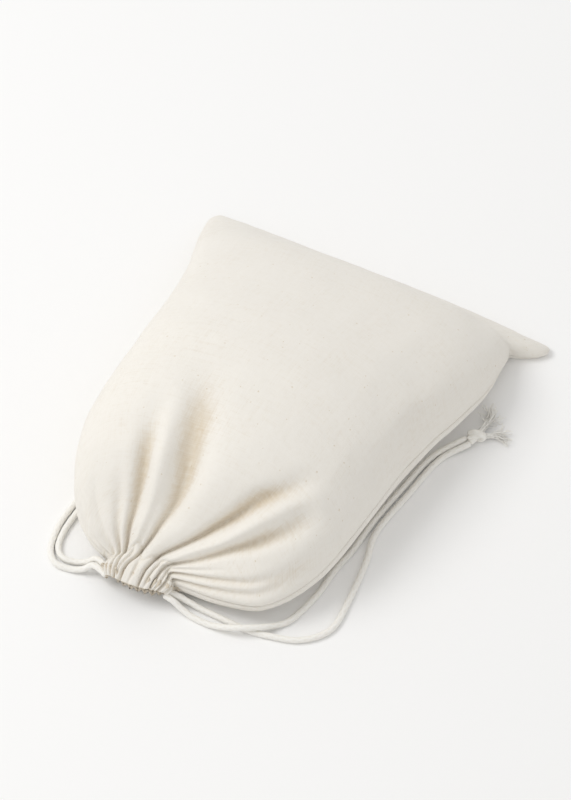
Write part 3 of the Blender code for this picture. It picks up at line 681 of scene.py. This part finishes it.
# The drawstrings.
# Two round cotton cords, braided and undyed, run in opposite ways round the hem. One comes out as
# a pair of ends at the right of the mouth and the other at the left, and they lie loose.
CORD_DIAMETER = 0.0025
BRAID_PITCH = 0.0042
ROUTES = {
    "right_cord_outer": (
        (-0.0066, -0.0826, 0.0050), (-0.0020, -0.0822, 0.0030), (0.0035, -0.0822, 0.0015),
        (0.0095, -0.0824, 0.0013), (0.0165, -0.0828, 0.0013), (0.0240, -0.0829, 0.0013),
        (0.0322, -0.0818, 0.0013), (0.0448, -0.0780, 0.0013), (0.0535, -0.0685, 0.0013),
        (0.0541, -0.0540, 0.0013), (0.0524, -0.0340, 0.0013), (0.0500, -0.0200, 0.0013), (0.0537, 0.0020, 0.0013),
        (0.0577, 0.0215, 0.0013), (0.0657, 0.0333, 0.0026),
    ),
    "right_cord_inner": (
        (-0.0070, -0.0856, 0.0050), (-0.0028, -0.0862, 0.0026), (0.0025, -0.0870, 0.0013),
        (0.0103, -0.0873, 0.0016), (0.0177, -0.0864, 0.0036), (0.0240, -0.0840, 0.0045),
        (0.0296, -0.0803, 0.0036), (0.0342, -0.0755, 0.0015), (0.0380, -0.0700, 0.0013),
        (0.0418, -0.0560, 0.0013), (0.0430, -0.0430, 0.0013), (0.0452, -0.0320, 0.0013),
        (0.0470, -0.0150, 0.0013), (0.0502, 0.0020, 0.0013), (0.0545, 0.0215, 0.0013),
        (0.0632, 0.0349, 0.0026),
    ),
    "left_cord_outer": (
        (-0.0419, -0.0850, 0.0058), (-0.0458, -0.0866, 0.0028), (-0.0505, -0.0880, 0.0013),
        (-0.0568, -0.0883, 0.0013), (-0.0608, -0.0852, 0.0013), (-0.0630, -0.0800, 0.0013),
        (-0.0640, -0.0715, 0.0013), (-0.0634, -0.0630, 0.0013), (-0.0622, -0.0560, 0.0013),
        (-0.0610, -0.0440, 0.0013), (-0.0616, -0.0300, 0.0013), (-0.0630, -0.0150, 0.0013),
        (-0.0645, -0.0020, 0.0013), (-0.0652, 0.0090, 0.0013), (-0.0655, 0.0185, 0.0026),
    ),
    "left_cord_inner": (
        (-0.0419, -0.0820, 0.0062), (-0.0458, -0.0830, 0.0030), (-0.0503, -0.0842, 0.0013),
        (-0.0553, -0.0848, 0.0013), (-0.0587, -0.0826, 0.0013), (-0.0605, -0.0785, 0.0013),
        (-0.0610, -0.0710, 0.0013), (-0.0600, -0.0610, 0.0013), (-0.0590, -0.0550, 0.0013),
        (-0.0576, -0.0440, 0.0013), (-0.0578, -0.0300, 0.0013), (-0.0590, -0.0150, 0.0013),
        (-0.0602, -0.0020, 0.0013), (-0.0611, 0.0090, 0.0013), (-0.0626, 0.0189, 0.0026),
    ),
}


def smooth_route(points, spacing):
    """Points a spacing apart on a smooth curve through the given ones."""
    points = [Vector(point) for point in points]
    nodes = [2 * points[0] - points[1], *points, 2 * points[-1] - points[-2]]
    fine = []
    for a, b, c, d in zip(nodes, nodes[1:], nodes[2:], nodes[3:]):
        for k in range(24):
            u = k / 24
            fine.append(0.5 * (2 * b + (c - a) * u + (2 * a - 5 * b + 4 * c - d) * u * u
                               + (3 * b - a - 3 * c + d) * u**3))
    fine.append(nodes[-2])
    fine = np.array(fine)
    length = np.linalg.norm(np.diff(fine, axis=0), axis=1).sum()
    return evenly_along(fine, max(round(length / spacing), 2))


def steady_frames(points):
    """Directions ahead and to two sides along a line, that don't twist about it."""
    ahead = np.gradient(points, axis=0)
    ahead /= np.linalg.norm(ahead, axis=1)[:, None]
    side = np.cross(ahead[0], (0.0, 0.0, 1.0))
    if np.linalg.norm(side) < 0.1:
        side = np.cross(ahead[0], (0.0, 1.0, 0.0))
    sides = []
    for way in ahead:
        side = side - way * np.dot(side, way)
        side /= np.linalg.norm(side)
        sides.append(side)
    sides = np.array(sides)
    return ahead, sides, np.cross(ahead, sides)


def braided_tube(name, points, diameter, material, around=24):
    """A round braid along a line of points, closed at both ends, with a UV map of its own."""
    ahead, side, up = steady_frames(points)
    far = np.concatenate([[0.0], np.cumsum(np.linalg.norm(np.diff(points, axis=0), axis=1))])
    angle = np.linspace(0, 2 * math.pi, around + 1)
    turns = 2 * math.pi * far[:, None] / BRAID_PITCH
    one_way = np.cos(4 * angle[None, :] + turns)
    other_way = np.cos(4 * angle[None, :] - turns)
    braid = np.maximum(one_way, other_way)
    radius = diameter / 2 * (1 + 0.045 * braid - 0.015)
    end = np.clip(np.minimum(far, far[-1] - far) / (diameter * 0.35), 0.0, 1.0)
    radius *= (0.55 + 0.45 * np.sqrt(1 - (1 - end) ** 2))[:, None]
    skin = (
        points[:, None, :]
        + side[:, None, :] * (radius * np.cos(angle)[None, :])[:, :, None]
        + up[:, None, :] * (radius * np.sin(angle)[None, :])[:, :, None]
    )
    bm = bmesh.new()
    uv = bm.loops.layers.uv.new("cord")
    rings = [[bm.verts.new(place) for place in ring[:-1]] for ring in skin]
    for k in range(len(rings) - 1):
        for s in range(around):
            t = (s + 1) % around
            face = bm.faces.new((rings[k][s], rings[k][t], rings[k + 1][t], rings[k + 1][s]))
            corners = ((s, k), (s + 1, k), (s + 1, k + 1), (s, k + 1))
            for loop, (a, b) in zip(face.loops, corners):
                loop[uv].uv = (a / around, far[b])
    bm.faces.new(rings[0][::-1])
    bm.faces.new(rings[-1])
    mesh = bpy.data.meshes.new(name)
    bm.to_mesh(mesh)
    bm.free()
    mesh.shade_smooth()
    mesh.materials.append(material)
    thing = bpy.data.objects.new(name, mesh)
    bpy.context.scene.collection.objects.link(thing)
    return thing


def braided_cotton(name):
    """The cord's yarns, which lie slantwise both ways round it, with painted shade in the grooves between them.
    """
    material = bpy.data.materials.new(name)
    material.use_nodes = True
    tree = material.node_tree
    shader = tree.nodes["Principled BSDF"]
    uv = tree.nodes.new("ShaderNodeUVMap")
    uv.uv_map = "cord"
    split = tree.nodes.new("ShaderNodeSeparateXYZ")
    tree.links.new(uv.outputs[0], split.inputs[0])
    around = maths(tree, "MULTIPLY", split.outputs[0], 8 * math.pi)
    along = maths(tree, "MULTIPLY", split.outputs[1], 2 * math.pi / BRAID_PITCH)
    one_way = maths(tree, "COSINE", maths(tree, "ADD", around, along))
    other_way = maths(tree, "COSINE", maths(tree, "SUBTRACT", around, along))
    braid = maths(tree, "MAXIMUM", one_way, other_way)
    place = tree.nodes.new("ShaderNodeTexCoord")
    fibres = grain(tree, place.outputs["Object"], 2600.0, 3.0)
    # Painted shade: the colour is lighter on the braid's crests and darker in its grooves, besides the fibres'
    # random tone.
    tone = maths(tree, "ADD", maths(tree, "MULTIPLY", braid, 0.12), maths(tree, "MULTIPLY", fibres, 0.45))
    colours = ((0.0, (0.80, 0.75, 0.66)), (0.5, (0.90, 0.88, 0.83)), (1.0, (0.94, 0.93, 0.90)))
    tree.links.new(ramp(tree, maths(tree, "ADD", tone, 0.22), colours), shader.inputs["Base Color"])
    tree.links.new(bump(tree, fibres, 0.00016, 0.6), shader.inputs["Normal"])
    shader.inputs["Roughness"].default_value = 0.85
    shader.inputs["Specular IOR Level"].default_value = 0.25
    shader.inputs["Sheen Weight"].default_value = 0.25
    return material


IN_THE_HEM = {  # where each cord comes out of the hem, a little inside its end
    "right_cord_outer": (-0.0105, -0.0832, 0.0062),
    "right_cord_inner": (-0.0112, -0.0852, 0.0058),
    "left_cord_outer": (-0.0352, -0.0872, 0.0062),
    "left_cord_inner": (-0.0350, -0.0848, 0.0070),
}
cord_cotton = braided_cotton("cord_cotton")
drawstrings = {}
for route_name, route in ROUTES.items():
    line = smooth_route((IN_THE_HEM[route_name], *route), 0.0005)
    drawstring = braided_tube(route_name.replace("cord", "drawstring"), line, CORD_DIAMETER, cord_cotton)
    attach(drawstring, "root")
    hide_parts(route_name)
    drawstrings[route_name] = (drawstring, line)

# The knots.
# Each pair of ends is tied together in an overhand knot and pulled tight, which keeps them from
# slipping back into the hem. One end makes the turns, and the other goes through the middle.
KNOT_HEIGHT = 0.00285
KNOTTED_DIAMETER = 0.0024  # pulled tight
KNOTS = {
    "right": {"at": (0.0665, 0.0374), "heading": 58.0, "tails_turned": 0.0},
    "left": {"at": (-0.0646, 0.0226), "heading": 97.0, "tails_turned": -26.0},
}
# One cord's turns, in mm: ahead, to the left and up from the knot's middle.
KNOT_TURNS = (
    (-4.0, 0.5, 0.1), (-2.6, 0.3, 0.4), (-0.6, -0.4, 1.3), (1.0, -1.4, 1.5), (1.9, -2.1, 0.2),
    (1.2, -1.6, -1.3), (-0.2, 0.0, -1.6), (-1.4, 1.6, -1.0), (-1.7, 2.1, 0.5), (-0.6, 1.2, 1.7),
    (0.7, 0.0, 1.6), (1.6, 0.2, 0.4), (2.2, 1.0, -0.5), (3.4, 1.1, -0.7),
)
# The other cord, which goes through the middle.
KNOT_CORE = ((-4.0, -1.2, -0.2), (-2.2, -0.9, 0.0), (0.0, -0.2, 0.0), (1.8, -0.7, 0.0), (3.4, -1.2, -0.4))


def knot_point(knot, place):
    """A place given from a knot's middle, in mm, as a point in metres."""
    turn = math.radians(knot["heading"])
    ahead, left, up = (value / 1000 for value in place)
    return (
        knot["at"][0] + math.cos(turn) * ahead - math.sin(turn) * left,
        knot["at"][1] + math.sin(turn) * ahead + math.cos(turn) * left,
        KNOT_HEIGHT + up,
    )


def joined(name, things):
    """Several objects' meshes in one object."""
    bm = bmesh.new()
    for thing in things:
        bm.from_mesh(thing.data)
    mesh = bpy.data.meshes.new(name)
    bm.to_mesh(mesh)
    bm.free()
    for material in things[0].data.materials:
        mesh.materials.append(material)
    whole = bpy.data.objects.new(name, mesh)
    bpy.context.scene.collection.objects.link(whole)
    for thing in things:
        bpy.data.objects.remove(thing)
    return whole


tied = {}
for side_name, knot in KNOTS.items():
    strands = [
        braided_tube("strand", smooth_route([knot_point(knot, place) for place in places], 0.0004),
                     KNOTTED_DIAMETER, cord_cotton)
        for places in (KNOT_TURNS, KNOT_CORE)
    ]
    tied[side_name] = joined(side_name + "_overhand_knot", strands)
    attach(tied[side_name], "root")
    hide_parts(side_name + "_knot")

# The frayed ends.
# Past each knot the two cord ends have come unravelled into their yarns, which spread and curl.
# Each is a soft bundle of many fine cotton threads.

# Each tail's turn from the knot's heading, its length and how far it bends, turns in degrees.
TAILS = ((-20.0, 0.0115, -25.0), (17.0, 0.0135, 20.0))
THREADS_IN_A_TAIL = 46
THREAD_RADIUS = 0.00016
STEPS_IN_A_THREAD = 16


def thread_tree():
    """A round thread along each line."""
    tree, given, end = node_tree("threads", ("Thread radius",))
    line = tree.nodes.new("GeometryNodeMeshToCurve")
    ring = tree.nodes.new("GeometryNodeCurvePrimitiveCircle")
    ring.inputs["Resolution"].default_value = 4
    sweep = tree.nodes.new("GeometryNodeCurveToMesh")
    sweep.inputs["Fill Caps"].default_value = True
    tree.links.new(given.outputs["Geometry"], line.inputs[0])
    tree.links.new(given.outputs["Thread radius"], ring.inputs["Radius"])
    tree.links.new(line.outputs[0], sweep.inputs["Curve"])
    tree.links.new(ring.outputs[0], sweep.inputs["Profile Curve"])
    finish_tree(tree, sweep.outputs[0], given, end)
    return tree


def frayed_tail(knot, tail, seed):
    """The lines of one tail's threads, which leave the knot together and then spread."""
    chance = np.random.default_rng(seed)
    turn, length, bend = tail
    lines = []
    for _ in range(THREADS_IN_A_TAIL):
        own = length * chance.uniform(0.55, 1.08)
        wide = chance.normal(0.0, 0.42)
        tall = chance.uniform(0.0, 1.0)
        spot = chance.uniform(0, 2 * math.pi)
        root = math.sqrt(chance.uniform(0, 1)) * 0.0010
        curl = chance.uniform(0.0002, 0.0007)
        phase = chance.uniform(0, 6.28, 2)
        rate = chance.uniform(2.0, 4.5)
        points = []
        place = np.array(knot_point(knot, (2.2, 1.1 if turn > 0 else -1.1, -0.4)))
        for k in range(STEPS_IN_A_THREAD + 1):
            u = k / STEPS_IN_A_THREAD
            heading = math.radians(knot["heading"] + knot["tails_turned"] + turn + bend * u)
            heading += wide * ease(u, 0.15, 0.9)
            ahead = np.array([math.cos(heading), math.sin(heading), 0.0])
            left = np.array([-ahead[1], ahead[0], 0.0])
            if k:
                place = place + ahead * own / STEPS_IN_A_THREAD
            gather = 1 - 0.5 * ease(u, 0.2, 0.7)
            shake = curl * ease(u, 0.1, 0.6)
            aside = root * math.cos(spot) * gather + shake * math.sin(rate * 3 * u + phase[0])
            point = place + left * aside
            rise = root * math.sin(spot) * gather + shake * math.sin(rate * 4 * u + phase[1])
            settle = 0.0022 * (1 - ease(u, 0.1, 0.8)) + (0.0003 + 0.0030 * tall) * ease(u, 0.1, 0.8)
            point[2] = max(settle + rise, 0.00022)
            points.append(point)
        lines.append(np.array(points))
    return lines


tail_cotton = cotton_yarn("frayed_cotton_yarn", (0.90, 0.87, 0.81), (0.97, 0.96, 0.93), 1400.0)
threads = thread_tree()
frayed = {}
for number, (side_name, knot) in enumerate(KNOTS.items()):
    lines = [line for k, tail in enumerate(TAILS) for line in frayed_tail(knot, tail, 11 + 2 * number + k)]
    frayed[side_name] = grown(side_name + "_frayed_ends", lines, threads, {
        "Thread radius": THREAD_RADIUS, "Material": tail_cotton})
    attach(frayed[side_name], "root")
    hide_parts(side_name + "_tassel")

for route_name, (drawstring, line) in drawstrings.items():
    side_name = route_name.split("_")[0]

# The floor, the light and the camera.
# A plain pale floor, one broad soft light high on the left, and a long lens that looks down at the
# pouch from beyond its mouth.
bpy.ops.mesh.primitive_plane_add(size=6.0)
floor = bpy.context.object
floor.name = "floor"
floor_paint = bpy.data.materials.new("floor_paint")
floor_paint.use_nodes = True
floor_paint.node_tree.nodes["Principled BSDF"].inputs["Base Color"].default_value = (0.93, 0.925, 0.915, 1.0)
floor_paint.node_tree.nodes["Principled BSDF"].inputs["Roughness"].default_value = 0.95
floor_paint.node_tree.nodes["Principled BSDF"].inputs["Specular IOR Level"].default_value = 0.1
floor.data.materials.append(floor_paint)


def soft_light(name, place, target, size, power):
    """A square area light that points at a place."""
    lamp = bpy.data.lights.new(name, "AREA")
    lamp.shape = "SQUARE"
    lamp.size = size
    lamp.energy = power
    thing = bpy.data.objects.new(name, lamp)
    bpy.context.scene.collection.objects.link(thing)
    thing.location = place
    thing.rotation_euler = (Vector(target) - Vector(place)).to_track_quat("-Z", "Y").to_euler()


soft_light("high_left", (-0.80, -0.25, 1.20), (0, 0, 0.02), 0.7, 8.0)
sky = bpy.data.worlds.new("soft_room")
sky.use_nodes = True
sky.node_tree.nodes["Background"].inputs["Color"].default_value = (1.0, 1.0, 1.0, 1.0)
sky.node_tree.nodes["Background"].inputs["Strength"].default_value = 0.72
bpy.context.scene.world = sky
bpy.context.scene.view_settings.view_transform = "Standard"

AZIMUTH, ELEVATION = math.radians(26.0), math.radians(57.0)
VIEW_HEIGHT = 0.316
lens = bpy.data.cameras.new("camera")
lens.lens = 500.0
lens.sensor_width = 36.0
camera = bpy.data.objects.new("camera", lens)
bpy.context.scene.collection.objects.link(camera)
back = Vector((
    math.sin(AZIMUTH) * math.cos(ELEVATION),
    -math.cos(AZIMUTH) * math.cos(ELEVATION),
    math.sin(ELEVATION),
))
aim = Vector((-0.0029, 0.0068, 0.0245))
camera.location = aim + back * (VIEW_HEIGHT / 2 / (lens.sensor_width / 2 / lens.lens))
camera.rotation_mode = "QUATERNION"
camera.rotation_quaternion = (-back).to_track_quat("-Z", "Y")
bpy.context.scene.camera = camera
